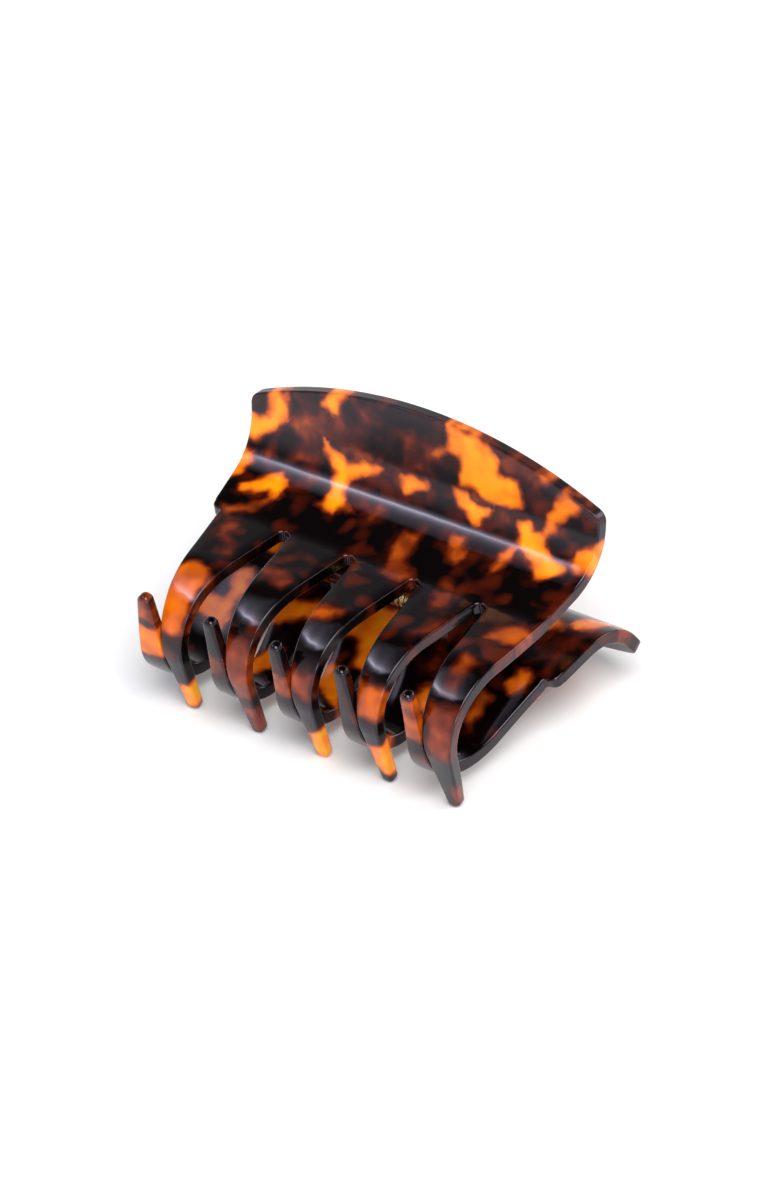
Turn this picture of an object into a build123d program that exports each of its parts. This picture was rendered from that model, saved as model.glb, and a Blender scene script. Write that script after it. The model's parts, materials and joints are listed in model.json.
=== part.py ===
from build123d import *
import math
import os

# Hair claw clip: two identical acetate jaws turned half a turn about the clip's centre line,
# four bonded hinge lugs, a headed steel pin and a torsion spring.
#
# Working frame: X along the hinge, Y from the teeth towards the handles, Z outwards from the upper
# jaw, with the clip's centre line on the Y axis and the teeth ending at about Y = 0. At the end the
# whole clip is tilted until it lies on its upper tooth tips and its lower lip, and set down on Z = 0.

# sheet and wing
SHEET = 3.4
WING_WIDTH = 96.0
WING_NARROWING = 2.5
ARCH = 10.3
LIP_SPARE = 2.0
CORNER_ROUND = 3.0

# the jaw's centre line in the Y-Z plane, from tooth tip to lip: lengths, radii and turns
TIP_Y = -0.4
TIP_Z = -17.2
TIP_HEADING = 93.4
TOOTH_DROP = 16.9
BEND_RADIUS = 12.5
BEND_TURN = 82.0
BULGE_RADIUS = 20.0
BULGE_TURN = 23.8
BODY_LENGTH = 14.9
WAIST_RADIUS = 19.0
FLAT_HEADING = 1.8
FLAT_LENGTH = 8.4
FLARE_RADIUS = 13.7
FLARE_TURN = 66.5
LIP_LENGTH = 4.2

# comb
TEETH = 5
TOOTH_PITCH = 18.0
COMB_SHIFT = 2.6
TIP_HALF_WIDTH = 1.6
ROOT_HALF_WIDTH = 7.5
ROOT_DISTANCE = 57.7
TAPER_POWER = 1.6
SLOT_TOP = 59.2
TIP_ROUND = 1.45
PLAIN_END_X = 45.6
PLAIN_END_TOP = 62.0
EAR_END_FLARE = 1.6
EAR_END_FLARE_START = 30.0
EAR_BOTTOM = 59.0
EAR_SLANT = 1.2
EAR_ROUND = 2.0
NOTCH_ROUND = 0.6
END_CLEARANCE = 12.0

# hinge
HINGE_Y = 35.2
PIN_DIAMETER = 2.5
BORE_DIAMETER = 2.62
HEAD_DIAMETER = 4.4
HEAD_THICKNESS = 1.1
HEAD_CROWN = 0.77
LUG_THICKNESS = 4.0
LUG_GAP = 0.2
LUG_INNER_FACE = 10.0
EYE_RADIUS = 3.5
FOOT_HALF_LENGTH = 5.5

# torsion spring
WIRE = 1.3
COIL_RADIUS = 2.25
COIL_PITCH = 1.4
COIL_WHOLE_TURNS = 12
LEG_ANGLE = 28.0
LEG_LENGTH = 9.2
LEG_FOOT = 5.0

# tools that cut the shape: how far they reach past it, and in how many sections they are lofted
REACH = 100.0
BELOW_TIPS = 3.0
CUTTER_SECTIONS = 13
EDGE_MATCH = 0.3
STEEPEST_TILT = 45.0
TILT_HALVINGS = 18

WAIST_TURN = FLAT_HEADING - (TIP_HEADING - BEND_TURN - BULGE_TURN)
HALF_WING = WING_WIDTH / 2
CUTTER_HALF_DEPTH = 1.2 * SHEET


def profile_steps():
    """The centre line as (length, signed turn in degrees) from the tooth tip to the lip corner."""
    return [
        (TOOTH_DROP, 0.0),
        (math.radians(BEND_TURN) * BEND_RADIUS, -BEND_TURN),
        (math.radians(BULGE_TURN) * BULGE_RADIUS, -BULGE_TURN),
        (BODY_LENGTH, 0.0),
        (math.radians(WAIST_TURN) * WAIST_RADIUS, WAIST_TURN),
        (FLAT_LENGTH, 0.0),
        (math.radians(FLARE_TURN) * FLARE_RADIUS, FLARE_TURN),
        (LIP_LENGTH + ARCH + LIP_SPARE, 0.0),
    ]


def profile_at(distance):
    """Point (y, z) and heading in degrees on the centre line, at a distance from the tooth tip."""
    y, z, heading = TIP_Y, TIP_Z, TIP_HEADING
    if distance < 0.0:
        h = math.radians(heading)
        return y + distance * math.cos(h), z + distance * math.sin(h), heading
    for length, turn in profile_steps():
        part = min(distance, length)
        swing = turn * part / length
        h0 = math.radians(heading)
        h1 = math.radians(heading + swing)
        if turn:
            radius = length / math.radians(turn)
            y += radius * (math.sin(h1) - math.sin(h0))
            z -= radius * (math.cos(h1) - math.cos(h0))
        else:
            y += part * math.cos(h0)
            z += part * math.sin(h0)
        heading += swing
        distance -= part
        if distance <= 0.0:
            break
    return y, z, heading


def offset_point(distance, offset):
    """A point beside the centre line; a positive offset is towards the outer face."""
    y, z, heading = profile_at(distance)
    h = math.radians(heading)
    return (0.0, y - offset * math.sin(h), z + offset * math.cos(h))


def lip_corner_distance():
    return sum(length for length, turn in profile_steps()) - ARCH - LIP_SPARE


def tooth_half_width(distance):
    """Half the width of a tooth: it widens faster and faster from the tip to the root."""
    t = min(max(distance / ROOT_DISTANCE, 0.0), 1.0)
    return TIP_HALF_WIDTH + (ROOT_HALF_WIDTH - TIP_HALF_WIDTH) * t ** TAPER_POWER


def face_of(*lines):
    return make_face([edge for line in lines for edge in line.edges()])


def sheet_plane(distance, x=0.0):
    """The plane of the sheet at a distance from the tooth tip: local X along the hinge, Y up it."""
    y, z, heading = profile_at(distance)
    h = math.radians(heading)
    return Plane(origin=(x, y, z), x_dir=(1, 0, 0), z_dir=(0, -math.sin(h), math.cos(h)))


def bent_sheet():
    """The sheet bent to the profile, at full width, from the tooth tips to past the lip."""
    lines = []
    for offset in (SHEET / 2, -SHEET / 2):
        start = 0.0
        for length, turn in profile_steps():
            a = offset_point(start, offset)
            b = offset_point(start + length, offset)
            middle = offset_point(start + length / 2, offset)
            lines.append(ThreePointArc(a, middle, b) if turn else Line(a, b))
            start += length
    for end in (0.0, start):
        lines.append(Line(offset_point(end, SHEET / 2), offset_point(end, -SHEET / 2)))
    return extrude(face_of(*lines), amount=HALF_WING, dir=(1, 0, 0), both=True)


def cross_section(distance, x_low, x_high):
    """A tall rectangle square to the profile, used as a section of a cutter."""
    y, z, heading = profile_at(distance)
    h = math.radians(heading)
    along = (0, math.cos(h), math.sin(h))
    plane = Plane(origin=((x_low + x_high) / 2, y, z), x_dir=(1, 0, 0), z_dir=along)
    return plane * Rectangle(x_high - x_low, 2 * CUTTER_HALF_DEPTH)


def cutter(top, edges_at):
    """A solid that follows the profile from below the tips to top, between two edges."""
    step = (top + BELOW_TIPS) / (CUTTER_SECTIONS - 1)
    stations = [i * step - BELOW_TIPS for i in range(CUTTER_SECTIONS)]
    return loft([cross_section(s, *edges_at(s)) for s in stations])


def tooth_centre(index):
    return (index - (TEETH - 1) / 2) * TOOTH_PITCH + COMB_SHIFT


def slot_cutter(index):
    """The gap between tooth index and the next one, with a round top."""
    middle = tooth_centre(index) + TOOTH_PITCH / 2
    radius = TOOTH_PITCH / 2 - ROOT_HALF_WIDTH
    centre = SLOT_TOP - radius

    def edges(s):
        half = TOOTH_PITCH / 2 - tooth_half_width(s)
        return middle - half, middle + half

    round_top = sheet_plane(centre, middle) * Circle(TOOTH_PITCH / 2 - tooth_half_width(centre))
    return cutter(centre, edges) + extrude(round_top, amount=CUTTER_HALF_DEPTH, both=True)


def plain_end_x(distance):
    """The edge past the last tooth, which flows into the side of the wing."""
    tip = tooth_centre(TEETH - 1) + TIP_HALF_WIDTH
    ease = (1.0 - min(max(distance, 0.0) / PLAIN_END_TOP, 1.0)) ** 2
    return PLAIN_END_X - (PLAIN_END_X - tip) * ease


def ear_end_x(distance):
    """The edge past the first tooth, which stops under the ear of the wing."""
    flare = max(distance - EAR_END_FLARE_START, 0.0) / (EAR_BOTTOM - EAR_END_FLARE_START)
    return tooth_centre(0) - tooth_half_width(distance) - EAR_END_FLARE * flare


def plain_end_cutter():
    return cutter(PLAIN_END_TOP, lambda s: (plain_end_x(s), HALF_WING + END_CLEARANCE))


def ear_end_cutter():
    beyond = -HALF_WING - END_CLEARANCE
    trim = cutter(EAR_BOTTOM, lambda s: (beyond, ear_end_x(s)))
    inner = ear_end_x(EAR_BOTTOM)
    slant = Polyline((inner, 0), (inner, -1), (beyond, -1), (beyond, 2 * EAR_SLANT), close=True)
    wedge = extrude(sheet_plane(EAR_BOTTOM) * face_of(slant), amount=CUTTER_HALF_DEPTH, both=True)
    return trim + wedge


def wing_outline():
    """Two prisms that trim the wing: one to its narrowing sides, one to its arched lip."""
    narrow = HALF_WING - WING_NARROWING
    y_corner = profile_at(lip_corner_distance())[0]
    y_ear = profile_at(EAR_BOTTOM)[0]
    y_past_lip = y_corner + REACH
    y_past_tips = TIP_Y - REACH
    side = [(narrow, y_past_tips), (narrow, y_ear), (HALF_WING, y_corner), (HALF_WING, y_past_lip)]
    mirrored = [(-x, y) for x, y in reversed(side)]
    sides = extrude(face_of(Polyline(*side, *mirrored, close=True)), amount=REACH, both=True)

    arc = ThreePointArc((-HALF_WING, 0), (0, ARCH), (HALF_WING, 0))
    rest = Polyline((HALF_WING, 0), (HALF_WING, -REACH), (-HALF_WING, -REACH), (-HALF_WING, 0))
    outline = fillet(face_of(arc, rest).vertices().sort_by(Axis.Y)[-2:], CORNER_ROUND)
    arch = extrude(sheet_plane(lip_corner_distance()) * outline, amount=REACH, both=True)
    return sides, arch


def through_edges(body):
    """The short edges that run through the sheet, from its outer to its inner face."""
    return [edge for edge in body.edges() if abs(edge.length - SHEET) < EDGE_MATCH]


def through_edge_near(body, x, distance):
    """The short edge through the sheet that is nearest to a place on its profile."""
    place = Vector(x, *profile_at(distance)[:2])
    return min(through_edges(body), key=lambda edge: (edge.center() - place).length)


def jaw():
    """The upper jaw: wing, body and five teeth out of one bent sheet."""
    sides, arch = wing_outline()
    body = bent_sheet() & sides & arch
    body -= plain_end_cutter()
    body -= ear_end_cutter()
    for index in range(TEETH - 1):
        body -= slot_cutter(index)
    tip_edges = [edge for edge in through_edges(body) if edge.center().Z < TIP_Z + 1]
    body = fillet(tip_edges, TIP_ROUND)
    body = fillet(through_edge_near(body, ear_end_x(EAR_BOTTOM), EAR_BOTTOM), NOTCH_ROUND)
    return fillet(through_edge_near(body, -PLAIN_END_X, EAR_BOTTOM), EAR_ROUND)


def half_turn(part):
    """From the upper jaw's place to the lower jaw's: half a turn about the clip's centre line."""
    return Rot(0, 180, 0) * part


def lug(x_low, bonded_to):
    """A hinge eye on a foot bonded to the inner face of the upper jaw."""
    foot_top = profile_at(SLOT_TOP)[1]
    foot_low, foot_high = HINGE_Y - FOOT_HALF_LENGTH, HINGE_Y + FOOT_HALF_LENGTH
    eye = Plane.YZ * (Pos(HINGE_Y, 0) * Circle(EYE_RADIUS))
    web = Plane.YZ * face_of(
        Polyline(
            (HINGE_Y - EYE_RADIUS, 0), (HINGE_Y + EYE_RADIUS, 0),
            (foot_high, foot_top), (foot_low, foot_top),
            close=True,
        )
    )
    bore = Plane.YZ * (Pos(HINGE_Y, 0) * Circle(BORE_DIAMETER / 2))
    block = extrude(eye, amount=LUG_THICKNESS, dir=(1, 0, 0))
    block += extrude(web, amount=LUG_THICKNESS, dir=(1, 0, 0))
    block -= extrude(bore, amount=LUG_THICKNESS, dir=(1, 0, 0))
    return Pos(x_low, 0, 0) * block - bonded_to


def hinge_pin():
    half = LUG_INNER_FACE + 2 * LUG_THICKNESS + LUG_GAP + LUG_GAP / 2
    along_x = Plane(origin=(-half, HINGE_Y, 0), x_dir=(0, 1, 0), z_dir=(1, 0, 0))
    shank = extrude(along_x * Circle(PIN_DIAMETER / 2), amount=2 * half)
    pin = shank
    for side in (-1, 1):
        face = Plane(origin=(side * half, HINGE_Y, 0), x_dir=(0, 1, 0), z_dir=(side, 0, 0))
        head = extrude(face * Circle(HEAD_DIAMETER / 2), amount=HEAD_THICKNESS)
        crown = head.edges().filter_by(GeomType.CIRCLE).sort_by(Axis.X)[-1 if side > 0 else 0]
        pin += fillet(crown, HEAD_CROWN)
    return pin


def torsion_spring():
    """A close-wound coil round the pin, with one leg against each handle."""
    start_angle = -90.0 - LEG_ANGLE
    swept = 360.0 * COIL_WHOLE_TURNS + 2 * start_angle
    turns = swept / 360.0
    height = turns * COIL_PITCH
    a = math.radians(start_angle)
    seat = Plane(
        origin=(-height / 2, HINGE_Y, 0), x_dir=(0, math.cos(a), math.sin(a)), z_dir=(1, 0, 0)
    )
    path = seat * Helix(COIL_PITCH, height, COIL_RADIUS, lefthand=True)
    section = Plane(origin=path @ 0, z_dir=path % 0) * Circle(WIRE / 2)
    coil = sweep(section, path=path, is_frenet=True)
    spring = coil
    for end, outwards in ((0, -1), (1, 1)):
        root = path @ end
        away = (path % end) * outwards
        leg_plane = Plane(origin=root, z_dir=away)
        leg = extrude(leg_plane * Circle(WIRE / 2), amount=LEG_LENGTH)
        tip = root + away * LEG_LENGTH
        foot_plane = Plane(origin=tip, z_dir=(-outwards, 0, 0))
        foot = extrude(foot_plane * Circle(WIRE / 2), amount=LEG_FOOT)
        spring = spring + leg + Pos(tip) * Sphere(WIRE / 2) + foot
    return spring


def resting_tilt(upper_jaw, lower_jaw):
    """The angle at which the upper tooth tips are as low as the lower lip."""
    low, high = 0.0, STEEPEST_TILT
    for _ in range(TILT_HALVINGS):
        middle = (low + high) / 2
        tips = (Rot(middle, 0, 0) * upper_jaw).bounding_box().min.Z
        lip = (Rot(middle, 0, 0) * lower_jaw).bounding_box().min.Z
        low, high = (middle, high) if lip < tips else (low, middle)
    return middle


def build():
    upper = jaw()
    lower = half_turn(upper)
    right_lug = lug(LUG_INNER_FACE, upper)
    left_lug = lug(-LUG_INNER_FACE - 2 * LUG_THICKNESS - LUG_GAP, upper)
    nodes = {
        "upper_jaw": upper,
        "lower_jaw": lower,
        "upper_lug_right": right_lug,
        "upper_lug_left": left_lug,
        "lower_lug_left": half_turn(right_lug),
        "lower_lug_right": half_turn(left_lug),
        "hinge_pin": hinge_pin(),
        "torsion_spring": torsion_spring(),
    }
    tilt = resting_tilt(upper, lower)
    tilted = {name: Rot(tilt, 0, 0) * node for name, node in nodes.items()}
    box = tilted["upper_jaw"].bounding_box().add(tilted["lower_jaw"].bounding_box())
    centre = box.center()
    down = Pos(-centre.X, -centre.Y, -box.min.Z)
    placed = {name: down * node for name, node in tilted.items()}
    hinge = (down * Rot(tilt, 0, 0) * Pos(0, HINGE_Y, 0)).position
    print(f"resting tilt {tilt:.2f} degrees, hinge axis at {hinge}")
    return placed


if __name__ == "__main__":
    os.makedirs("parts", exist_ok=True)
    for node_name, solid in build().items():
        export_step(solid, f"parts/{node_name}.step")
        print(node_name, solid.volume, solid.is_valid, len(solid.solids()))
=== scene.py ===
import json
import math

import bpy
import numpy as np
from mathutils import Matrix, Vector, geometry, kdtree


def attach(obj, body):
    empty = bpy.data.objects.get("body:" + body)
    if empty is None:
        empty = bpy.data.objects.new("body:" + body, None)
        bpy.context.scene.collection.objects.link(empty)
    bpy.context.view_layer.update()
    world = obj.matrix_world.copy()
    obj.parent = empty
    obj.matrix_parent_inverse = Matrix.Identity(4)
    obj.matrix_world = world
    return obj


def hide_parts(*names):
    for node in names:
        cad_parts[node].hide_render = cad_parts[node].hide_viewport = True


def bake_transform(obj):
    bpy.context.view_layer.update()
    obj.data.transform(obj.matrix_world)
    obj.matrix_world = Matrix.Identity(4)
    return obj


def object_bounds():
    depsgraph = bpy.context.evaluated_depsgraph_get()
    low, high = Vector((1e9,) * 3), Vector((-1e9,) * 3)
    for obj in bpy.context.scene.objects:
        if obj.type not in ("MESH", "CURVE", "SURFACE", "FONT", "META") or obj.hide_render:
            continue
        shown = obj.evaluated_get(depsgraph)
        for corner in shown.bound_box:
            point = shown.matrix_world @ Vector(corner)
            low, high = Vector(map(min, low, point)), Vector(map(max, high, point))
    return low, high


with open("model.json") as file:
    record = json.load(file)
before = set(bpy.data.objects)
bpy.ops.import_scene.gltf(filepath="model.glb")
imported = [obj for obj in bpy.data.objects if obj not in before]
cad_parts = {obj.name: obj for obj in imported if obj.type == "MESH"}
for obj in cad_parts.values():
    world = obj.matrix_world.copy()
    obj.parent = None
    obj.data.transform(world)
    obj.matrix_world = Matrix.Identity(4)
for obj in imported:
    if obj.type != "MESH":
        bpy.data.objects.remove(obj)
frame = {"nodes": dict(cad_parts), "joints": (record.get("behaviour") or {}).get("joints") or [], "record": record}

CAD_LOW, CAD_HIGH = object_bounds()
MM = 0.001
JOINT = frame["joints"][0]
HINGE = Vector(JOINT["pos_m"])

# ---------------------------------------------------------------- the jaw's centre line, millimetres
# A bent sheet, the same as the CAD jaw's: lengths along the sheet from the tooth tip to the lip.
TIP_U, TIP_V, TIP_HEADING = -0.4, -17.2, 93.4
TOOTH_DROP = 16.9
BEND_RADIUS, BEND_TURN = 12.5, 82.0
BULGE_RADIUS, BULGE_TURN = 20.0, 23.8
BODY_LENGTH = 14.9
WAIST_RADIUS = 19.0
FLAT_HEADING, FLAT_LENGTH = 1.8, 8.4
FLARE_RADIUS, FLARE_TURN = 13.7, 66.5
LIP_LENGTH = 4.2
ARCH = 10.3
HINGE_U = 35.2
WAIST_TURN = FLAT_HEADING - (TIP_HEADING - BEND_TURN - BULGE_TURN)

# the clip lies tilted: the mount on the flat band tells by how much
FLAT_BAND = next(m for m in frame["record"]["mounts"] if m["name"] == "ornament_face")
TILT = math.atan2(-FLAT_BAND["axis"][1], FLAT_BAND["axis"][2]) - math.radians(FLAT_HEADING)
TILTED = Matrix.Rotation(TILT, 3, "X")

# the comb and the wing
TEETH = 5
TOOTH_PITCH = 18.0
COMB_SHIFT = 2.6
TIP_HALF, ROOT_HALF, ROOT_DISTANCE, TAPER_POWER = 1.6, 7.5, 57.7, 1.6
SLOT_TOP = 59.2
TIP_ROUND = 1.5
PLAIN_END_X, PLAIN_END_TOP = 45.6, 62.0
EAR_END_FLARE, EAR_END_FLARE_START = 1.6, 30.0
EAR_BOTTOM, EAR_SLOPE, EAR_ROUND, NOTCH_ROUND = 59.0, 0.123, 2.0, 0.8
WING_HALF, WING_HALF_LOW, CORNER_ROUND = 48.0, 45.5, 3.0

# thickness and the polished edges
SHEET, TIP_SHEET, THINNING_END = 3.4, 3.1, 24.0
EDGE_ROUND, TIP_EDGE_ROUND = 0.5, 1.1
CROWN, CROWN_WIDTH = 0.16, 3.2
EDGE_STEPS, TIP_STEPS, SLOT_TOP_STEPS = 6, 7, 16
LIP_AHEAD = 5
OUTLINE_STEP = 0.7
FACE_STEP, ROW_SHARE, EDGE_SHARE = 0.85, 0.87, 0.6
LUG_EDGE, PIN_EDGE = 0.5, 0.25


def profile_steps():
    return [
        (TOOTH_DROP, 0.0),
        (math.radians(BEND_TURN) * BEND_RADIUS, -BEND_TURN),
        (math.radians(BULGE_TURN) * BULGE_RADIUS, -BULGE_TURN),
        (BODY_LENGTH, 0.0),
        (math.radians(WAIST_TURN) * WAIST_RADIUS, WAIST_TURN),
        (FLAT_LENGTH, 0.0),
        (math.radians(FLARE_TURN) * FLARE_RADIUS, FLARE_TURN),
        (LIP_LENGTH + ARCH, 0.0),
    ]


LIP_CORNER = sum(length for length, turn in profile_steps()) - ARCH


def profile_at(distance):
    """Point (u, v) and heading in radians on the sheet's middle, at a distance from the tooth tip."""
    u, v, heading = TIP_U, TIP_V, math.radians(TIP_HEADING)
    for length, turn in profile_steps():
        part = min(distance, length)
        swing = math.radians(turn) * part / length
        if turn:
            radius = length / math.radians(turn)
            u += radius * (math.sin(heading + swing) - math.sin(heading))
            v -= radius * (math.cos(heading + swing) - math.cos(heading))
        else:
            u += part * math.cos(heading)
            v += part * math.sin(heading)
        heading += swing
        distance -= part
        if distance <= 0.0:
            break
    return u, v, heading


def tooth_centre(index):
    return (index - (TEETH - 1) / 2) * TOOTH_PITCH + COMB_SHIFT


def tooth_half_width(distance):
    t = min(max(distance / ROOT_DISTANCE, 0.0), 1.0)
    return TIP_HALF + (ROOT_HALF - TIP_HALF) * t ** TAPER_POWER


def plain_end_x(distance):
    tip = tooth_centre(TEETH - 1) + TIP_HALF
    ease = (1.0 - min(max(distance, 0.0) / PLAIN_END_TOP, 1.0)) ** 2
    return PLAIN_END_X - (PLAIN_END_X - tip) * ease


def ear_end_x(distance):
    flare = max(distance - EAR_END_FLARE_START, 0.0) / (EAR_BOTTOM - EAR_END_FLARE_START)
    return tooth_centre(0) - tooth_half_width(distance) - EAR_END_FLARE * flare


def wing_side_x(distance):
    """Half the wing's width: it widens evenly, seen from above, from the ear to the lip corner."""
    low, high = profile_at(EAR_BOTTOM)[0], profile_at(LIP_CORNER)[0]
    share = (profile_at(distance)[0] - low) / (high - low)
    return WING_HALF_LOW + (WING_HALF - WING_HALF_LOW) * min(max(share, 0.0), 1.0)


def half_thickness(distance):
    t = min(max(distance / THINNING_END, 0.0), 1.0)
    return (TIP_SHEET + (SHEET - TIP_SHEET) * t * (2.0 - t)) / 2


def edge_round(distance):
    """The polished edge's radius: softer towards the tooth tips."""
    t = min(max(distance / THINNING_END, 0.0), 1.0)
    return TIP_EDGE_ROUND + (EDGE_ROUND - TIP_EDGE_ROUND) * t * (2.0 - t)


def crown(depth):
    """How far the polished face falls away near an edge, and how steeply."""
    t = max(1.0 - depth / CROWN_WIDTH, 0.0)
    return CROWN * t * t, 2.0 * CROWN * t / CROWN_WIDTH


# ---------------------------------------------------------------- the flat outline of a jaw
def span(start, end, step=OUTLINE_STEP):
    """Evenly spaced values from start to end, both included."""
    count = max(1, round(abs(end - start) / step))
    return [start + (end - start) * i / count for i in range(count + 1)]


def round_corner(before, corner, after, radius):
    """Points of the arc that rounds the corner between two straight lines."""
    a, c, b = Vector(before), Vector(corner), Vector(after)
    d0, d1 = (a - c).normalized(), (b - c).normalized()
    half = d0.angle(d1) / 2
    start, end = c + d0 * radius / math.tan(half), c + d1 * radius / math.tan(half)
    centre = c + (d0 + d1).normalized() * radius / math.sin(half)
    turn = math.pi - 2 * half
    count = max(3, round(turn * radius / (0.5 * OUTLINE_STEP)))
    from_centre = start - centre
    way = 1.0 if from_centre.cross(end - centre) > 0 else -1.0
    turns = [Matrix.Rotation(way * turn * i / count, 2) for i in range(count + 1)]
    return [tuple(centre + swing @ from_centre) for swing in turns]


def tooth_tip(index, left_at, right_at):
    """The rounded end of a tooth, from its left side to its right side."""
    middle = tooth_centre(index)
    left, right = [], []
    for i in range(1, TIP_STEPS + 1):
        angle = i / TIP_STEPS * math.pi / 2
        s = TIP_ROUND * (1.0 - math.cos(angle))
        left.append((middle + (left_at(s) - middle) * math.sin(angle), s))
        right.append((middle + (right_at(s) - middle) * math.sin(angle), s))
    return left[::-1] + [(middle, 0.0)] + right


def outline():
    """The jaw's flat outline (x along the hinge, s along the sheet), anticlockwise from outside."""
    radius = TOOTH_PITCH / 2 - ROOT_HALF
    turn_in = SLOT_TOP - radius
    points = []
    for index in range(TEETH):
        middle = tooth_centre(index)
        last = index == TEETH - 1
        left_at = ear_end_x if index == 0 else lambda s, m=middle: m - tooth_half_width(s)
        right_at = plain_end_x if last else lambda s, m=middle: m + tooth_half_width(s)
        if index:
            points += [(left_at(s), s) for s in span(turn_in, TIP_ROUND)[1:-1]]
        points += tooth_tip(index, left_at, right_at)
        if not last:
            points += [(right_at(s), s) for s in span(TIP_ROUND, turn_in)[1:]]
            gap = middle + TOOTH_PITCH / 2
            half = TOOTH_PITCH / 2 - tooth_half_width(turn_in)
            arc = [math.pi * (1.0 - i / SLOT_TOP_STEPS) for i in range(1, SLOT_TOP_STEPS + 1)]
            points += [(gap + half * math.cos(a), turn_in + half * math.sin(a)) for a in arc]
    points += [(plain_end_x(s), s) for s in span(TIP_ROUND, PLAIN_END_TOP)[1:]]
    corner_low = LIP_CORNER - CORNER_ROUND
    points += [(wing_side_x(s), s) for s in span(PLAIN_END_TOP, corner_low)[1:-1]]
    arc_radius = (WING_HALF ** 2 + ARCH ** 2) / (2 * ARCH)
    half_angle = math.asin(WING_HALF / arc_radius)
    lip = []
    for angle in span(half_angle, -half_angle, OUTLINE_STEP / arc_radius):
        lip.append((arc_radius * math.sin(angle), LIP_CORNER + ARCH - arc_radius * (1.0 - math.cos(angle))))
    right = round_corner((wing_side_x(corner_low), corner_low), lip[0], lip[LIP_AHEAD], CORNER_ROUND)
    left = round_corner(lip[-1 - LIP_AHEAD], lip[-1], (-wing_side_x(corner_low), corner_low), CORNER_ROUND)
    points += right
    points += [p for p in lip if right[-1][0] - OUTLINE_STEP / 2 > p[0] > left[0][0] + OUTLINE_STEP / 2]
    points += left
    inner = (ear_end_x(EAR_BOTTOM), EAR_BOTTOM)
    ear_x = -wing_side_x(EAR_BOTTOM)
    ear = (ear_x, EAR_BOTTOM + EAR_SLOPE * (inner[0] - ear_x))
    ear_arc = round_corner((ear_x, ear[1] + 10), ear, inner, EAR_ROUND)
    notch_arc = round_corner(ear, inner, (ear_end_x(EAR_BOTTOM - 4), EAR_BOTTOM - 4), NOTCH_ROUND)
    points += [(-wing_side_x(s), s) for s in span(left[-1][1], ear_arc[0][1])[1:-1]]
    points += ear_arc
    points += [tuple(Vector(ear_arc[-1]).lerp(Vector(notch_arc[0]), t)) for t in (0.33, 0.67)]
    points += notch_arc
    points += [(ear_end_x(s), s) for s in span(notch_arc[-1][1], TIP_ROUND)[1:-1]]
    return points


def inward_normals(points):
    """For each outline point, the unit direction into the sheet and the mitre's stretch."""
    found = []
    for i, p in enumerate(points):
        a, b, c = Vector(points[i - 1]), Vector(p), Vector(points[(i + 1) % len(points)])
        before, after = (b - a).normalized(), (c - b).normalized()
        normal = Vector((-before.y - after.y, before.x + after.x)).normalized()
        stretch = 1.0 / max(0.5, normal.dot(Vector((-after.y, after.x))))
        found.append((normal, stretch))
    return found


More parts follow.
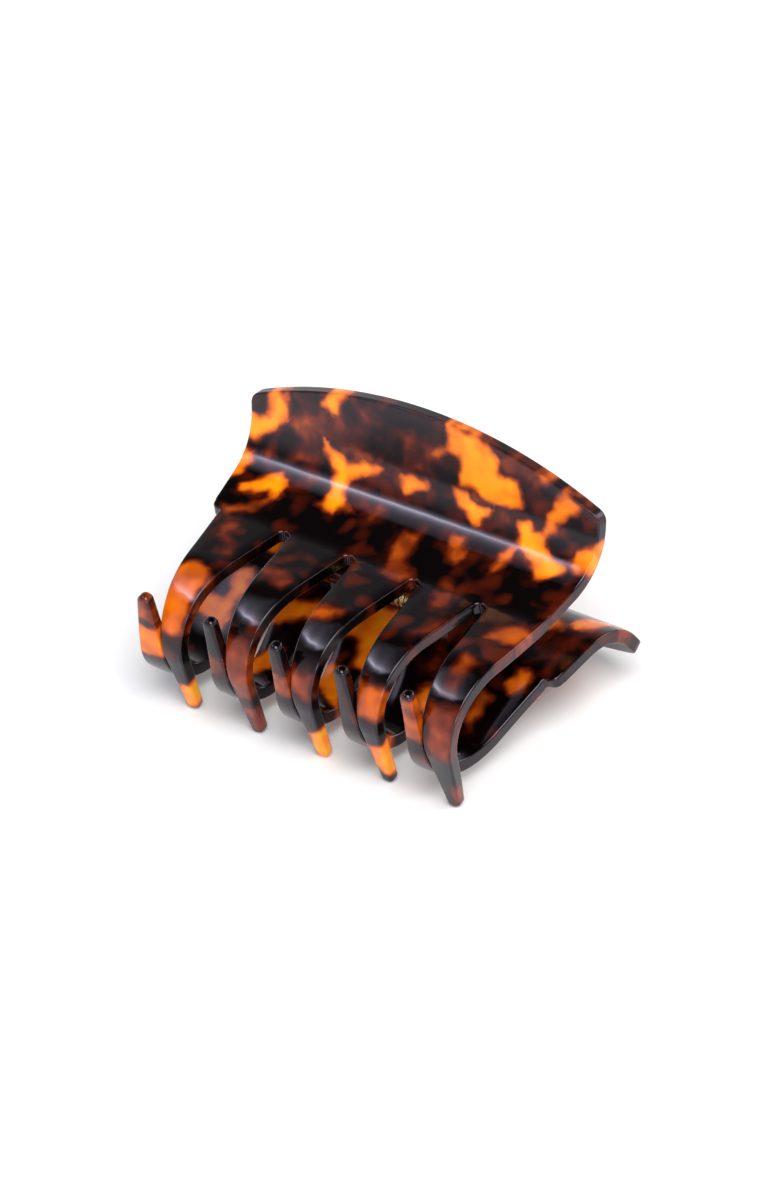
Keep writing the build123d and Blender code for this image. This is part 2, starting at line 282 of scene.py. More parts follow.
# ---------------------------------------------------------------- tortoiseshell patches
# Amber patches on the flat pattern: how light each one is, and its corners (x, s) in millimetres.
WING_PATCHES = [
    (1.00, [(-42.5, 94.8), (-38.0, 94.6), (-37.5, 89.5), (-40.0, 84.8), (-45.6, 80.3), (-48.6, 79.8),
            (-49.0, 86.6), (-45.5, 86.2), (-43.2, 87.2), (-42.2, 90.0)]),
    (1.00, [(-47.8, 77.6), (-44.6, 77.2), (-43.5, 73.5), (-44.9, 70.0), (-46.6, 69.0), (-47.4, 73.0)]),
    (1.00, [(-35.0, 74.2), (-33.2, 72.8), (-31.6, 67.4), (-33.0, 67.0), (-35.5, 68.4), (-38.0, 66.8),
            (-41.8, 66.2), (-42.4, 67.4), (-37.5, 72.5)]),
    (1.00, [(-25.6, 99.6), (-21.0, 100.8), (-22.8, 96.5), (-23.6, 94.0), (-25.2, 93.8), (-28.0, 95.5)]),
    (0.36, [(-19.8, 100.4), (-15.6, 96.8), (-15.4, 95.0), (-17.0, 95.4), (-19.6, 98.0)]),
    (1.00, [(-26.9, 86.2), (-26.5, 84.0), (-22.3, 79.2), (-21.9, 75.0), (-21.8, 69.6), (-18.0, 68.8),
            (-16.6, 71.6), (-18.4, 75.6), (-18.9, 79.0), (-13.5, 81.3), (-10.8, 84.2), (-15.5, 84.6),
            (-20.2, 82.9), (-24.8, 84.6)]),
    (0.60, [(-18.0, 73.4), (-13.4, 70.8), (-14.6, 69.6), (-18.6, 69.6)]),
    (0.95, [(-5.6, 84.6), (1.4, 85.2), (1.8, 82.6), (-1.0, 81.8), (-3.5, 80.5), (-5.4, 82.0)]),
    (0.28, [(-36.6, 91.2), (-31.0, 90.6), (-27.5, 95.0), (-24.0, 93.0), (-20.0, 91.0), (-20.0, 86.0),
            (-26.0, 86.6), (-31.0, 87.4), (-33.5, 84.8), (-36.6, 87.0)]),
    (0.42, [(-36.4, 90.4), (-33.4, 90.2), (-32.6, 87.0), (-34.6, 85.4), (-36.2, 87.0)]),
    (0.24, [(-20.0, 93.0), (-15.0, 93.0), (-14.6, 88.0), (-17.0, 85.0), (-20.0, 86.0)]),
    (0.26, [(-42.0, 81.0), (-39.0, 80.6), (-38.4, 77.4), (-41.0, 76.6)]),
    (0.22, [(-6.0, 92.6), (-1.0, 95.0), (1.6, 90.0), (-2.0, 87.4), (-5.0, 88.6)]),
    (1.00, [(6.0, 101.8), (14.6, 100.6), (20.5, 97.0), (21.0, 94.0), (22.3, 92.6), (25.9, 93.6),
            (26.9, 91.0), (26.9, 87.0), (22.5, 86.0), (17.6, 85.4), (15.5, 87.4), (12.0, 88.0),
            (10.4, 87.2), (10.2, 93.4), (9.4, 94.2), (6.6, 95.0)]),
    (0.60, [(1.0, 92.0), (4.5, 92.2), (7.0, 94.8), (5.4, 95.3), (3.4, 94.0)]),
    (1.00, [(8.3, 86.0), (12.0, 85.8), (15.0, 84.2), (18.8, 83.6), (19.0, 82.0), (17.2, 81.0),
            (17.4, 79.0), (15.8, 79.0), (13.5, 80.6), (10.6, 81.6)]),
    (0.30, [(20.6, 97.4), (26.4, 98.6), (33.0, 97.4), (30.0, 94.4), (27.4, 93.2), (24.0, 93.0)]),
    (0.62, [(30.6, 98.2), (35.0, 96.6), (33.0, 94.8), (30.8, 95.8)]),
    (0.92, [(38.4, 94.8), (42.6, 92.4), (42.0, 91.0), (38.6, 88.0), (36.8, 86.0), (36.2, 83.6),
            (34.4, 81.6), (33.0, 83.0), (34.2, 88.0), (35.8, 90.2)]),
    (1.00, [(27.2, 83.2), (29.0, 84.6), (31.0, 82.6), (33.6, 82.0), (35.2, 79.6), (38.2, 77.4),
            (42.0, 76.2), (41.4, 74.4), (36.6, 70.4), (33.2, 74.4), (28.8, 77.0), (27.6, 79.5)]),
    (0.80, [(26.4, 76.4), (28.9, 77.2), (28.0, 73.0), (26.9, 67.2), (25.6, 67.8), (25.7, 72.0)]),
    (0.92, [(43.2, 81.0), (48.2, 84.8), (49.0, 80.0), (47.6, 76.8), (44.6, 76.0), (42.4, 77.0)]),
    (0.30, [(19.4, 86.0), (24.0, 85.4), (23.0, 80.0), (20.4, 79.6)]),
    (0.54, [(12.0, 75.2), (15.2, 75.4), (18.2, 69.4), (17.4, 67.4), (15.0, 67.4), (11.4, 72.0)]),
    (0.42, [(0.8, 70.8), (5.2, 71.0), (6.0, 64.0), (10.8, 59.2), (8.5, 56.6), (3.5, 57.4), (1.0, 66.0)]),
    (0.24, [(-8.6, 61.4), (-6.0, 65.0), (-1.0, 62.2), (-6.0, 59.8)]),
    (0.22, [(16.0, 62.0), (18.5, 64.4), (22.8, 59.4), (19.0, 58.4)]),
    (0.20, [(43.6, 72.0), (47.0, 73.0), (47.0, 62.0), (44.6, 62.0)]),
    (0.22, [(-32.0, 79.0), (-27.0, 79.6), (-24.0, 73.0), (-26.0, 67.4), (-30.0, 68.6)]),
    (0.26, [(-11.4, 73.8), (-8.0, 74.4), (-8.4, 70.8), (-11.4, 70.8)]),
    (0.50, [(-34.0, 66.6), (-33.4, 65.0), (-35.5, 61.6), (-41.2, 58.2), (-43.0, 60.6), (-38.0, 62.8)]),
]
UPPER_TOOTH_PATCHES = [
    (0.30, [(-39.6, 58.0), (-36.0, 58.0), (-34.4, 50.0), (-37.6, 50.0)]),
    (0.30, [(-35.4, 52.0), (-31.0, 49.0), (-29.6, 45.0), (-33.6, 44.6)]),
    (0.63, [(-38.4, 38.6), (-34.0, 41.0), (-29.6, 38.0), (-30.4, 25.0), (-36.6, 23.4), (-38.6, 30.0)]),
    (1.00, [(-33.0, 9.6), (-29.0, 9.0), (-31.0, 1.8), (-36.0, 0.6), (-36.0, 4.0)]),
    (0.30, [(-22.0, 47.0), (-15.0, 47.4), (-12.0, 44.5), (-12.6, 41.6), (-19.0, 42.0)]),
    (0.40, [(-19.6, 28.0), (-12.4, 28.4), (-11.0, 20.0), (-12.0, 13.0), (-16.4, 13.0), (-18.6, 20.0)]),
    (0.36, [(-17.0, 9.6), (-11.0, 9.0), (-12.0, 1.0), (-16.6, 1.0)]),
    (0.50, [(-3.0, 41.4), (4.4, 42.0), (3.2, 38.6), (-3.0, 36.4)]),
    (0.44, [(-1.6, 26.6), (5.2, 26.0), (5.4, 20.6), (0.0, 21.0)]),
    (0.95, [(1.6, 8.6), (8.0, 11.0), (8.0, -1.0), (1.0, -1.0)]),
    (0.30, [(17.6, 58.0), (22.0, 59.0), (24.0, 54.0), (20.0, 52.4)]),
    (0.24, [(22.0, 49.0), (26.6, 50.0), (26.0, 42.0), (22.6, 43.0)]),
    (0.54, [(17.2, 28.6), (26.8, 28.6), (26.2, 23.0), (23.0, 21.0), (18.4, 21.6)]),
    (0.92, [(19.0, 13.0), (26.0, 14.4), (25.4, 4.0), (22.0, 2.8), (19.0, 5.0)]),
    (0.50, [(37.8, 53.6), (42.2, 57.2), (46.2, 55.0), (45.6, 49.6), (37.6, 49.0)]),
    (0.34, [(36.8, 43.0), (41.2, 41.0), (41.0, 33.0), (37.6, 32.0)]),
    (0.40, [(36.6, 29.0), (43.4, 30.0), (43.6, 18.0), (37.8, 17.0)]),
    (0.30, [(40.8, 9.0), (44.0, 7.0), (40.0, 0.0), (38.0, 0.6)]),
]
LOWER_TOOTH_PATCHES = [
    (1.00, [(38.0, 60.0), (42.4, 57.4), (39.8, 53.6), (41.2, 50.8), (47.6, 50.4), (48.0, 47.6), (43.0, 45.0),
            (37.0, 43.0), (36.8, 52.0)]),
    (0.84, [(11.4, 56.6), (16.0, 58.6), (24.0, 56.4), (28.4, 53.0), (28.0, 47.6), (24.6, 50.0),
            (20.0, 52.8), (13.0, 53.0)]),
    (0.84, [(19.6, 44.0), (23.4, 43.0), (26.0, 37.0), (23.0, 34.0), (19.8, 38.0)]),
    (1.00, [(-1.4, 62.0), (5.0, 61.4), (9.0, 56.0), (8.4, 51.4), (5.8, 53.2), (3.0, 52.4), (2.6, 46.4),
            (-2.0, 46.0), (-2.4, 54.0)]),
    (0.80, [(3.0, 44.6), (7.4, 45.0), (8.4, 40.6), (3.0, 35.0), (-1.6, 33.4), (0.6, 39.0)]),
    (0.24, [(-19.4, 54.4), (-15.0, 57.0), (-13.6, 52.0), (-17.6, 50.6)]),
    (0.74, [(-19.6, 49.0), (-15.6, 47.0), (-18.6, 40.8), (-22.0, 42.0)]),
    (0.70, [(-39.0, 59.6), (-35.8, 59.4), (-34.6, 55.0), (-37.0, 53.0), (-39.6, 55.0)]),
    (0.60, [(-33.0, 51.0), (-30.6, 51.6), (-30.2, 45.0), (-33.0, 41.6)]),
    (0.92, [(35.8, 17.0), (43.0, 18.0), (42.6, 9.0), (35.8, 9.4)]),
    (0.50, [(37.0, 7.0), (41.4, 6.4), (41.0, 0.0), (37.6, 0.0)]),
    (0.42, [(18.4, 17.0), (24.6, 17.0), (24.0, 10.6), (19.0, 10.6)]),
    (0.46, [(-0.6, 15.0), (5.6, 15.0), (5.2, 8.6), (0.0, 8.6)]),
    (0.52, [(-38.0, 13.6), (-30.8, 13.6), (-31.0, 1.4), (-36.4, 1.4)]),
    (0.62, [(-23.0, 31.0), (-17.0, 30.0), (-18.0, 22.0), (-21.6, 23.0)]),
]
LOWER_WING_PATCHES = [
    (0.50, [(-49.0, 104.0), (-30.0, 108.0), (-30.0, 101.0), (-44.0, 98.0), (-46.0, 92.0), (-49.0, 92.0)]),
    (0.40, [(-48.0, 84.0), (-40.0, 86.0), (-38.0, 82.0), (-48.0, 80.0)]),
]
LOWER_WING_SHIFT = (4.0, -1.5)
LOWER_LIGHTEST = 0.86
LEAST_DEPTH = -9.0
EDGE_FADE, FAR_WEIGHT = 1.0, 0.01


def lower_patches():
    """The lower jaw's own patches on its comb, and the wing's turned round and moved along."""
    dx, ds = LOWER_WING_SHIFT
    wing = [(light, [(dx - x, s + ds) for x, s in corners]) for light, corners in WING_PATCHES]
    wing = [(light, corners) for light, corners in wing if min(s for x, s in corners) > EAR_BOTTOM]
    return [(min(light, LOWER_LIGHTEST), c) for light, c in LOWER_TOOTH_PATCHES + LOWER_WING_PATCHES + wing]


def depth_in(points, corners):
    """Signed distance in millimetres from each point to a closed outline: positive inside."""
    distance = np.full(len(points), np.inf)
    inside = np.zeros(len(points), bool)
    for a, b in zip(corners, corners[1:] + corners[:1]):
        a, b = np.array(a), np.array(b)
        along = b - a
        t = np.clip((points - a) @ along / (along @ along), 0.0, 1.0)
        distance = np.minimum(distance, np.hypot(*(points - a - t[:, None] * along).T))
        crosses = (a[1] > points[:, 1]) != (b[1] > points[:, 1])
        rise = along[1] if along[1] else 1.0
        inside ^= crosses & (points[:, 0] < a[0] + (points[:, 1] - a[1]) * along[0] / rise)
    return np.where(inside, distance, -distance)


def patch_fields(flat, patches):
    """For each point of the flat pattern: its depth in the patch that shows most, and how light that is."""
    points = np.array([(x, s) for x, s, offset in flat])
    best_score = np.full(len(points), -np.inf)
    depth, lightness = np.full(len(points), LEAST_DEPTH), np.zeros(len(points))
    for light, corners in patches:
        d = depth_in(points, corners)
        shown = np.clip((d + EDGE_FADE) / (2.0 * EDGE_FADE), 0.0, 1.0)
        score = light * shown + FAR_WEIGHT * np.clip(d, LEAST_DEPTH, 0.0)
        better = score > best_score
        best_score[better] = score[better]
        depth[better], lightness[better] = d[better], light
    return np.maximum(depth, LEAST_DEPTH), lightness


# ---------------------------------------------------------------- building a jaw
def jaw_points():
    """Rings round the polished edge, from the outer face to the inner one: (x, s, offset, normal)."""
    flat = outline()
    normals = inward_normals(flat)
    rings = []
    for side in (1, -1):
        angles = [math.pi / 2 * i / EDGE_STEPS for i in range(EDGE_STEPS + 1)]
        for angle in angles[::-1] if side > 0 else angles:
            ring = []
            for (x, s), (inward, stretch) in zip(flat, normals):
                r = edge_round(s)
                fall, slope = crown(r)
                thick = half_thickness(s) - fall
                inset = r * (1.0 - math.cos(angle)) * stretch
                place = Vector((x, s)) + inward * inset
                offset = side * (thick - r + r * math.sin(angle))
                lean = slope * math.sin(angle)
                slant = ((math.cos(angle) + lean) * -inward, side * math.sin(angle))
                ring.append((place.x, place.y, offset, slant))
            rings.append(ring)
    return rings


def face_mesh(ring):
    """Triangles that fill a ring, with evenly spread points inside, and how deep inside they lie."""
    border = [Vector((p[0], p[1])) for p in ring]
    tree = kdtree.KDTree(len(border))
    for i, p in enumerate(border):
        tree.insert((p.x, p.y, 0.0), i)
    tree.balance()
    inside = []
    rows = span(0.0, LIP_CORNER + ARCH, FACE_STEP * ROW_SHARE)
    for r, s in enumerate(rows):
        for x in span(-WING_HALF, WING_HALF, FACE_STEP):
            p = (x + (FACE_STEP / 2 if r % 2 else 0.0), s, 0.0)
            if tree.find(p)[2] > FACE_STEP * EDGE_SHARE:
                inside.append(Vector((p[0], p[1])))
    edges = [(i, (i + 1) % len(border)) for i in range(len(border))]
    found = geometry.delaunay_2d_cdt(border + inside, edges, [list(range(len(border)))], 1, 1e-6)
    depths = []
    for p in found[0]:
        near, i, depth = tree.find((p.x, p.y, 0.0))
        depths.append((depth, (Vector((p.x, p.y)) - border[i])))
    return found[0], found[2], found[3], depths


def build_jaw(name, patches, flipped):
    """A jaw as one closed mesh in its place, with its flat pattern and amber levels as attributes."""
    rings = jaw_points()
    count = len(rings[0])
    flat, slants = [], []
    for ring in rings:
        for x, s, offset, slant in ring:
            flat.append((x, s, offset))
            slants.append(slant)
    faces = []
    for k in range(len(rings) - 1):
        for i in range(count):
            j = (i + 1) % count
            low, high = (k + 1) * count, k * count
            faces.append((low + i, low + j, high + j, high + i))
    for side, ring_index in ((1, 0), (-1, len(rings) - 1)):
        points, triangles, sources, depths = face_mesh(rings[ring_index])
        used = {i for triangle in triangles for i in triangle}
        numbers = {}
        for i, (p, source, (depth, inwards)) in enumerate(zip(points, sources, depths)):
            on_ring = [k for k in source if k < count]
            if on_ring:
                numbers[i] = ring_index * count + on_ring[0]
            elif i in used:
                numbers[i] = len(flat)
                fall, slope = crown(depth + edge_round(p.y))
                flat.append((p.x, p.y, side * (half_thickness(p.y) - fall)))
                slants.append((-slope * inwards.normalized(), side))
        for triangle in triangles:
            order = triangle if side > 0 else list(triangle)[::-1]
            faces.append(tuple(numbers[i] for i in order))

    places, normals = [], []
    for (x, s, offset), (sideways, out) in zip(flat, slants):
        u, v, heading = profile_at(max(s, 0.0))
        along = Vector((0.0, math.cos(heading), math.sin(heading)))
        outward = Vector((0.0, -math.sin(heading), math.cos(heading)))
        place = Vector((x, u - HINGE_U, v)) + outward * offset
        normal = Vector((sideways.x, 0.0, 0.0)) + along * sideways.y + outward * out
        if flipped:
            place = Vector((-place.x, place.y, -place.z))
            normal = Vector((-normal.x, normal.y, -normal.z))
        places.append(TILTED @ place * MM + HINGE)
        normals.append((TILTED @ normal).normalized())

    mesh = bpy.data.meshes.new(name)
    mesh.from_pydata(places, [], faces)
    mesh.polygons.foreach_set("use_smooth", [True] * len(mesh.polygons))
    mesh.normals_split_custom_set_from_vertices(normals)
    pattern = mesh.attributes.new("flat_pattern", "FLOAT_VECTOR", "POINT")
    pattern.data.foreach_set("vector", [value for p in flat for value in p])
    for attribute, values in zip(("patch_depth", "patch_lightness"), patch_fields(flat, patches)):
        mesh.attributes.new(attribute, "FLOAT", "POINT").data.foreach_set("value", values)
    piece = bpy.data.objects.new(name, mesh)
    bpy.context.scene.collection.objects.link(piece)
    return piece


# ---------------------------------------------------------------- materials
class Nodes:
    """A small helper that adds and links a material's nodes."""

    def __init__(self, name):
        self.material = bpy.data.materials.new(name)
        self.material.use_nodes = True
        self.tree = self.material.node_tree
        self.shader = self.tree.nodes["Principled BSDF"]

    def add(self, kind, values=(), **settings):
        node = self.tree.nodes.new(kind)
        for key, value in settings.items():
            setattr(node, key, value)
        for slot, value in dict(values).items():
            if isinstance(value, bpy.types.NodeSocket):
                self.tree.links.new(value, node.inputs[slot])
            else:
                node.inputs[slot].default_value = value
        return node

    def math(self, operation, a, b=0.0, clamp=False):
        return self.add("ShaderNodeMath", {0: a, 1: b}, operation=operation, use_clamp=clamp).outputs[0]

    def noise(self, where, scale, detail=0.0):
        values = {"Vector": where, "Scale": scale, "Detail": detail}
        return self.add("ShaderNodeTexNoise", values).outputs["Fac"]

    def spread(self, value, start, end, low=0.0, high=1.0, smooth=False):
        """A value's share of the way from start to end, as a number from low to high."""
        kind = "SMOOTHSTEP" if smooth else "LINEAR"
        ends = {"From Min": start, "From Max": end, "To Min": low, "To Max": high}
        return self.add("ShaderNodeMapRange", {"Value": value, **ends}, interpolation_type=kind).outputs[0]

    def feed(self, socket, value):
        if isinstance(value, bpy.types.NodeSocket):
            self.tree.links.new(value, self.shader.inputs[socket])
        else:
            self.shader.inputs[socket].default_value = value

    def ramp(self, factor, stops):
        node = self.add("ShaderNodeValToRGB", {"Fac": factor})
        elements = node.color_ramp.elements
        while len(elements) < len(stops):
            elements.new(0.5)
        for element, (position, colour) in zip(elements, stops):
            element.position = position
            element.color = (*colour, 1.0)
        return node.outputs["Color"]


BLACK_BROWN = (0.0018, 0.0008, 0.0008)
DEEP_RED = (0.060, 0.006, 0.001)
RUST = (0.20, 0.028, 0.003)
ORANGE = (0.60, 0.108, 0.003)
AMBER = (0.88, 0.205, 0.003)
GOLD = (0.84, 0.345, 0.004)
LEVELS = [
    (0.05, BLACK_BROWN), (0.22, DEEP_RED), (0.40, RUST), (0.62, ORANGE), (0.85, AMBER), (1.0, GOLD),
]
# noise scales, in cycles for each millimetre of the flat pattern
TORN_SCALE, FRAYED_SCALE, CLOUD_SCALE, BLUSH_SCALE, RIPPLE_SCALE = 0.36, 0.95, 0.12, 0.26, 0.14
# how far noise moves a patch's edge, and the depths between which the patch fades in, millimetres
TORN_REACH, FRAYED_REACH, FADE_FROM, FADE_TO = 2.2, 0.4, -1.9, 1.5
HAZE_FROM, HAZE_TO, HAZE_LEVEL = 0.52, 0.72, 0.24
BLUSH_MIDDLE, BLUSH_SWING = 0.55, 0.45
HALO_REACH, HALO_FLOOR, HALO_ON_TEETH, HALO_WING_FROM, HALO_WING_TO = 6.0, 0.34, 0.35, 62.0, 74.0
GLOW_FROM, GLOW_TO, GLOW_MOST = 0.15, 0.7, 0.4
GLOW_RADIUS, GLOW_SCALE = (1.0, 0.36, 0.10), 2.2
ACETATE_IOR = 1.48
TOOTH_GLOSS, WING_GLOSS, GLOSS_FROM, GLOSS_TO = 0.10, 0.27, 77.0, 86.0
SHEEN_TINT = (0.97, 0.86, 1.0, 1.0)
RIPPLE_STRENGTH, RIPPLE_HEIGHT = 0.2, 0.2


def tortoiseshell(name, depth=None, lightness=None):
    """Polished acetate: black-brown ground, flame-shaped amber patches, soft red-brown between them."""
    n = Nodes(name)
    if depth is None:
        where = n.add("ShaderNodeAttribute", attribute_name="flat_pattern").outputs["Vector"]
        depth = n.add("ShaderNodeAttribute", attribute_name="patch_depth").outputs["Fac"]
        lightness = n.add("ShaderNodeAttribute", attribute_name="patch_lightness").outputs["Fac"]
    else:
        place = n.add("ShaderNodeTexCoord").outputs["Object"]
        where = n.add("ShaderNodeVectorMath", {0: place, "Scale": 1 / MM}, operation="SCALE").outputs[0]
    along = n.add("ShaderNodeSeparateXYZ", {0: where}).outputs["Y"]
    torn = n.noise(where, TORN_SCALE)
    frayed = n.noise(where, FRAYED_SCALE)
    clouds = n.noise(where, CLOUD_SCALE, 1.0)
    blush = n.noise(where, BLUSH_SCALE, 0.5)

    ragged = n.math("MULTIPLY", n.math("SUBTRACT", torn, 0.5), TORN_REACH)
    fine = n.math("MULTIPLY", n.math("SUBTRACT", frayed, 0.5), FRAYED_REACH)
    edge = n.math("ADD", depth, n.math("ADD", ragged, fine))
    shown = n.spread(edge, FADE_FROM, FADE_TO, smooth=True)
    haze = n.spread(clouds, HAZE_FROM, HAZE_TO, 0.0, HAZE_LEVEL, smooth=True)
    near = n.spread(depth, -HALO_REACH, 0.0)
    on_wing = n.spread(along, HALO_WING_FROM, HALO_WING_TO, HALO_ON_TEETH)
    above_floor = n.math("SUBTRACT", blush, HALO_FLOOR, clamp=True)
    halo = n.math("MULTIPLY", n.math("MULTIPLY", near, on_wing), above_floor)
    shade = n.math("MULTIPLY", n.math("SUBTRACT", blush, BLUSH_MIDDLE), BLUSH_SWING)
    level = n.math("ADD", n.math("MULTIPLY", shown, lightness), n.math("MULTIPLY", shade, shown))
    level = n.math("MAXIMUM", n.math("MAXIMUM", level, haze), halo)

    n.feed("Base Color", n.ramp(level, LEVELS))
    n.feed("Roughness", n.spread(along, GLOSS_FROM, GLOSS_TO, TOOTH_GLOSS, WING_GLOSS))
    n.feed("IOR", ACETATE_IOR)
    n.feed("Specular Tint", SHEEN_TINT)
    n.feed("Subsurface Weight", n.spread(level, GLOW_FROM, GLOW_TO, 0.0, GLOW_MOST))
    n.feed("Subsurface Radius", GLOW_RADIUS)
    n.feed("Subsurface Scale", GLOW_SCALE * MM)
    ripple = n.noise(where, RIPPLE_SCALE, 1.0)
    bump = n.add(
        "ShaderNodeBump", {"Height": ripple, "Strength": RIPPLE_STRENGTH, "Distance": RIPPLE_HEIGHT * MM}
    )
    n.feed("Normal", bump.outputs["Normal"])
    return n.material


DRAW_MARKS, TARNISH = 2600.0, 240.0
DULL = 0.55
MARKS_SWING = 0.25


def metal(name, colour, roughness):
    """Drawn, plated wire: fine draw marks in the roughness and a faint tarnish in the colour."""
    n = Nodes(name)
    place = n.add("ShaderNodeTexCoord").outputs["Object"]
    marks = n.noise(place, DRAW_MARKS, 2.0)
    tarnish = n.noise(place, TARNISH, 3.0)
    dull = tuple(DULL * value for value in colour)
    n.feed("Base Color", n.ramp(tarnish, [(0.35, dull), (0.65, colour)]))
    n.feed("Metallic", 1.0)
    spread = n.math("MULTIPLY", n.math("SUBTRACT", marks, 0.5), MARKS_SWING)
    n.feed("Roughness", n.math("ADD", spread, roughness))
    return n.material


# ---------------------------------------------------------------- the spring's wire
WIRE, WIRE_SIDES = 1.3, 14
COIL_RADIUS, COIL_PITCH, COIL_WHOLE_TURNS, COIL_STEPS = 2.25, 1.4, 12, 26
LEG_ANGLE, LEG_LENGTH, LEG_FOOT, LEG_BEND = 28.0, 9.2, 5.0, 1.4
COIL_START = -math.radians(90.0 + LEG_ANGLE)
COIL_TURNS = COIL_WHOLE_TURNS + 2 * COIL_START / (2 * math.pi)
DOME_ANGLES = (0.4, 0.8, 1.15, 1.45)


def domed(ring, way):
    """Ever smaller rings past a wire's end, on its way out."""
    point, tangent, side, radius = ring
    rings = []
    for angle in DOME_ANGLES:
        middle = point + tangent * way * radius * math.sin(angle)
        rings.append((middle, tangent, side, radius * math.cos(angle)))
    return rings


def wire_rings(path):
    """Rings along a path in the clip's own frame: (middle, tangent, side, radius)."""
    points = [Vector(p) for p in path]
    steps = [(b - a).normalized() for a, b in zip(points, points[1:])]
    tangents = [steps[0]] + [(a + b).normalized() for a, b in zip(steps, steps[1:])] + [steps[-1]]
    side = tangents[0].orthogonal()
    rings = []
    for point, tangent in zip(points, tangents):
        side = (side - tangent * side.dot(tangent)).normalized()
        rings.append((point, tangent, side, WIRE / 2))
    return domed(rings[0], -1.0)[::-1] + rings + domed(rings[-1], 1.0)


def wire(name, path, material):
    """A round wire with domed ends along a path in millimetres, put in its place in the tilted clip."""
    rings = wire_rings(path)
    places, faces = [], []
    for point, tangent, side, radius in rings:
        up = tangent.cross(side)
        for k in range(WIRE_SIDES):
            a = 2 * math.pi * k / WIRE_SIDES
            place = point + (side * math.cos(a) + up * math.sin(a)) * radius
            places.append(TILTED @ place * MM + HINGE)
    for r in range(len(rings) - 1):
        low, high = r * WIRE_SIDES, (r + 1) * WIRE_SIDES
        for k in range(WIRE_SIDES):
            j = (k + 1) % WIRE_SIDES
            faces.append((low + k, low + j, high + j, high + k))
    faces.append(tuple(range(WIRE_SIDES))[::-1])
    faces.append(tuple(range(len(places) - WIRE_SIDES, len(places))))
    mesh = bpy.data.meshes.new(name)
    mesh.from_pydata(places, [], faces)
    mesh.polygons.foreach_set("use_smooth", [True] * len(mesh.polygons))
    piece = bpy.data.objects.new(name, mesh)
    bpy.context.scene.collection.objects.link(piece)
    piece.data.materials.append(material)
    return piece


def coil_point(turn):
    angle = COIL_START - 2 * math.pi * turn
    x = (turn - COIL_TURNS / 2) * COIL_PITCH
    return Vector((x, COIL_RADIUS * math.cos(angle), COIL_RADIUS * math.sin(angle)))


def leg_path(at_end):
    """A straight leg from the coil's end to the handle, with its foot bent in along the hinge."""
    turn, way = (COIL_TURNS, 1.0) if at_end else (0.0, -1.0)
    root = coil_point(turn)
    away = (coil_point(turn + 0.01) - coil_point(turn - 0.01)).normalized() * way
    inwards = Vector((-way, 0.0, 0.0))
    tip = root + away * LEG_LENGTH
    path = [root, root + away * LEG_LENGTH * 0.4]
    for i in range(7):
        t = i / 6
        path.append(tip - away * LEG_BEND * (1 - t) ** 2 + inwards * LEG_BEND * t ** 2)
    return path + [tip + inwards * LEG_FOOT]


# ---------------------------------------------------------------- the pieces
def polished_copy(node_name, material, body, edge):
    """Stands for a CAD node: the same shape with its edges rounded, as moulding and forming leave them."""
    node = frame["nodes"][node_name]
    piece = bpy.data.objects.new(f"{node_name}_polished", node.data.copy())
    bpy.context.scene.collection.objects.link(piece)
    piece.data.materials.clear()
    piece.data.materials.append(material)
    polish = piece.modifiers.new("polished_edges", "BEVEL")
    polish.width = edge * MM
    polish.segments = 3
    polish.limit_method = "ANGLE"
    polish.harden_normals = True
    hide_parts(node_name)
    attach(piece, body)


shell = tortoiseshell("tortoiseshell")
upper_patches = WING_PATCHES + UPPER_TOOTH_PATCHES
for jaw_name, patches, flipped in (("upper_jaw", upper_patches, False), ("lower_jaw", lower_patches(), True)):
    jaw = build_jaw(f"{jaw_name}_shell", patches, flipped)
    jaw.data.materials.append(shell)
    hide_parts(jaw_name)
    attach(jaw, jaw_name)

lug_shell = tortoiseshell("lug_acetate", depth=-0.6, lightness=0.45)
for body in ("upper_jaw", "lower_jaw"):
    for side in ("left", "right"):
        lug_name = f"{body[:5]}_lug_{side}"
        polished_copy(lug_name, lug_shell, body, LUG_EDGE)
nickel = metal("nickel_pin", (0.72, 0.70, 0.66), 0.28)
polished_copy("hinge_pin", nickel, "lower_jaw", PIN_EDGE)

brass = metal("brass_wire", (0.83, 0.60, 0.28), 0.25)
coil = wire("spring_coil", [coil_point(t) for t in span(0.0, COIL_TURNS, 1.0 / COIL_STEPS)], brass)
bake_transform(coil)
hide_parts("torsion_spring")
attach(wire("spring_leg_lower", leg_path(False), brass), "lower_jaw")
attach(wire("spring_leg_upper", leg_path(True), brass), "upper_jaw")


# ---------------------------------------------------------------- floor, lights, camera
STRIP_WAY, STRIP_DISTANCE, STRIP_COLOUR = (-0.52, -0.38, 0.76), 0.54, (0.84, 0.88, 1.0)
STRIP_CORE, STRIP_RIM = (0.045, 0.014), (0.42, 0.30)
STRIP_SPREADS_TO, STRIP_SPREAD = (-0.51, -0.06, 0.86), 0.62
STRIP_PANELS, STRIP_GAP = 14, 0.002
STRIP_GROWTH = (STRIP_RIM[1] / STRIP_CORE[1]) ** (1.0 / (STRIP_PANELS - 1))
STRIP_RADIANCE, STRIP_FADE = 18.0, 0.86


# name, direction from the clip, distance, size, radiance
SOFT_BOXES = [
    ("main", (0.45, -0.35, 0.82), 2.40, (1.75, 1.75), 7.0),
    ("back", (0.60, 0.70, 0.45), 2.60, (1.50, 1.10), 3.7),
    ("rim", (0.80, -0.57, 0.10), 1.40, (0.50, 0.26), 7.0),
]
FLOOR_HALF, FLOOR_WHITE = 6.0, 0.95
SKY_LOW, SKY_HIGH, SKY_RIM, SKY_OVERHEAD = 0.10, 0.80, 1.0, 0.03


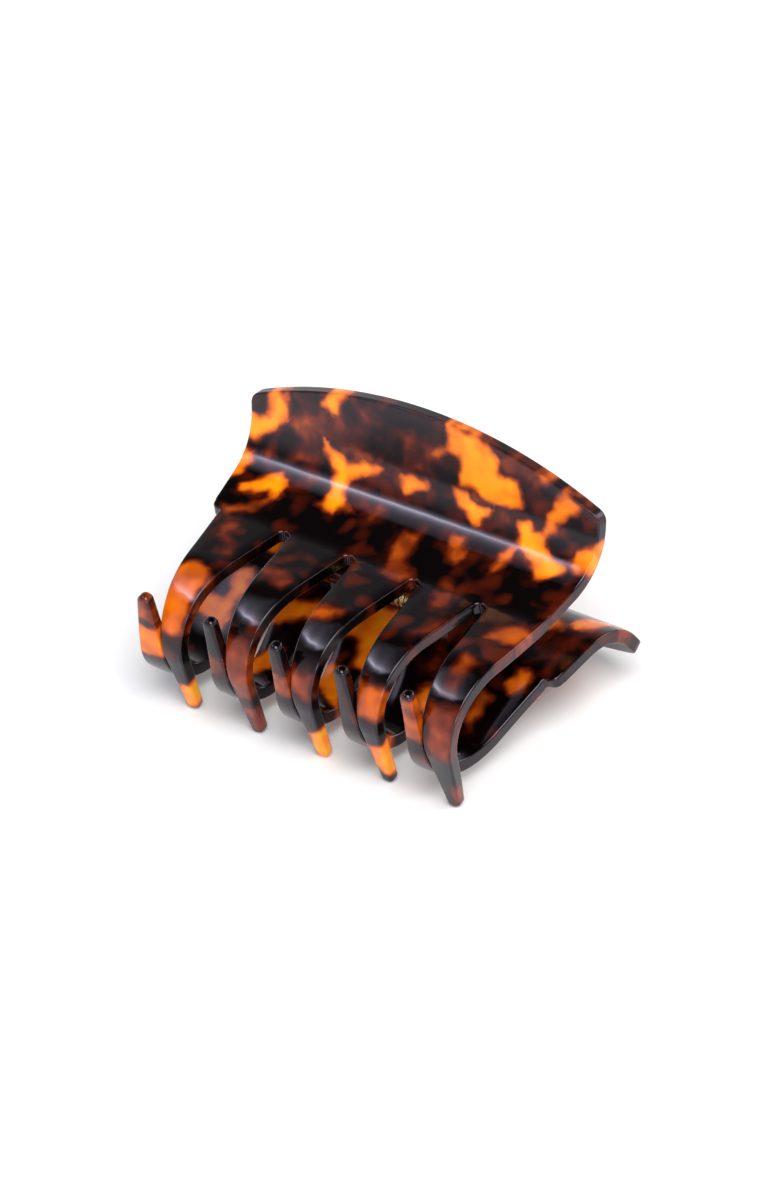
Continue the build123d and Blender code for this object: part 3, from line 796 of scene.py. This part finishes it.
def area_light(name, direction, distance, size, radiance, colour=(1.0, 1.0, 1.0)):
    """A soft box at a distance from the clip, facing it: its size is (across, up) in metres."""
    data = bpy.data.lights.new(name, "AREA")
    data.shape = "RECTANGLE"
    data.size, data.size_y = size
    data.energy = radiance * math.pi * size[0] * size[1]
    data.color = colour
    light = bpy.data.objects.new(name, data)
    way = Vector(direction).normalized()
    light.location = Vector((0.0, 0.0, CAD_HIGH.z / 2)) + way * distance
    light.rotation_mode = "QUATERNION"
    light.rotation_quaternion = way.to_track_quat("Z", "Y")
    bpy.context.scene.collection.objects.link(light)
    return light


def strip_light():
    """The soft strip behind the line along the wing: nested panels that fade out, mostly to one side."""
    near, far = Vector(STRIP_WAY).normalized(), Vector(STRIP_SPREADS_TO).normalized()
    most = STRIP_RIM[1] / STRIP_CORE[1]
    for i in range(STRIP_PANELS):
        grown = STRIP_GROWTH ** i
        here, beyond = STRIP_GROWTH ** (-STRIP_FADE * i), STRIP_GROWTH ** (-STRIP_FADE * (i + 1))
        radiance = STRIP_RADIANCE * (here - beyond)
        across = STRIP_CORE[0] + (STRIP_RIM[0] - STRIP_CORE[0]) * i / (STRIP_PANELS - 1)
        size = (across, STRIP_CORE[1] * grown)
        way = near.slerp(far, STRIP_SPREAD * (grown - 1.0) / (most - 1.0))
        area_light(f"strip_{i}", way, STRIP_DISTANCE + STRIP_GAP * i, size, radiance, STRIP_COLOUR)


def studio():
    """A white floor, the fading strip, the soft boxes and the sky."""
    mesh = bpy.data.meshes.new("floor")
    signs = ((-1, -1), (1, -1), (1, 1), (-1, 1))
    mesh.from_pydata([(FLOOR_HALF * a, FLOOR_HALF * b, 0.0) for a, b in signs], [], [(0, 1, 2, 3)])
    floor = bpy.data.objects.new("floor", mesh)
    bpy.context.scene.collection.objects.link(floor)
    paper = Nodes("paper")
    paper.feed("Base Color", (FLOOR_WHITE, FLOOR_WHITE, FLOOR_WHITE, 1.0))
    paper.feed("Roughness", 0.8)
    paper.feed("Specular IOR Level", 0.1)
    mesh.materials.append(paper.material)

    strip_light()
    for box in SOFT_BOXES:
        area_light(*box)
    sky()
    bpy.context.scene.view_settings.view_transform = "Standard"


def sky():
    """Soft light all round, as bright as the floor at its rim and dark overhead."""
    world = bpy.data.worlds.new("studio")
    world.use_nodes = True
    tree = world.node_tree
    place = tree.nodes.new("ShaderNodeTexCoord")
    parts = tree.nodes.new("ShaderNodeSeparateXYZ")
    fall = tree.nodes.new("ShaderNodeMapRange")
    fall.interpolation_type = "SMOOTHSTEP"
    ends = {"From Min": SKY_LOW, "From Max": SKY_HIGH, "To Min": SKY_RIM, "To Max": SKY_OVERHEAD}
    for socket, value in ends.items():
        fall.inputs[socket].default_value = value
    tree.links.new(place.outputs["Generated"], parts.inputs[0])
    tree.links.new(parts.outputs["Z"], fall.inputs["Value"])
    tree.links.new(fall.outputs[0], tree.nodes["Background"].inputs["Strength"])
    tree.nodes["Background"].inputs["Color"].default_value = (1.0, 1.0, 1.0, 1.0)
    bpy.context.scene.world = world


CAMERA_AZIMUTH, CAMERA_ELEVATION, CAMERA_ROLL = 38.73, 35.41, -4.73
CAMERA_DISTANCE, CAMERA_LENS = 2.5144, 341.9
AIM_FROM_HINGE = Vector((9.38, -11.78, 8.41)) * MM


def camera():
    data = bpy.data.cameras.new("camera")
    data.lens = CAMERA_LENS
    view = bpy.data.objects.new("camera", data)
    a, e = math.radians(CAMERA_AZIMUTH), math.radians(CAMERA_ELEVATION)
    back = Vector((math.sin(a) * math.cos(e), -math.cos(a) * math.cos(e), math.sin(e)))
    view.location = HINGE + AIM_FROM_HINGE + back * CAMERA_DISTANCE
    view.rotation_mode = "QUATERNION"
    level = back.to_track_quat("Z", "Y")
    roll = Matrix.Rotation(math.radians(CAMERA_ROLL), 3, back).to_quaternion()
    view.rotation_quaternion = roll @ level
    bpy.context.scene.collection.objects.link(view)
    bpy.context.scene.camera = view


studio()
camera()
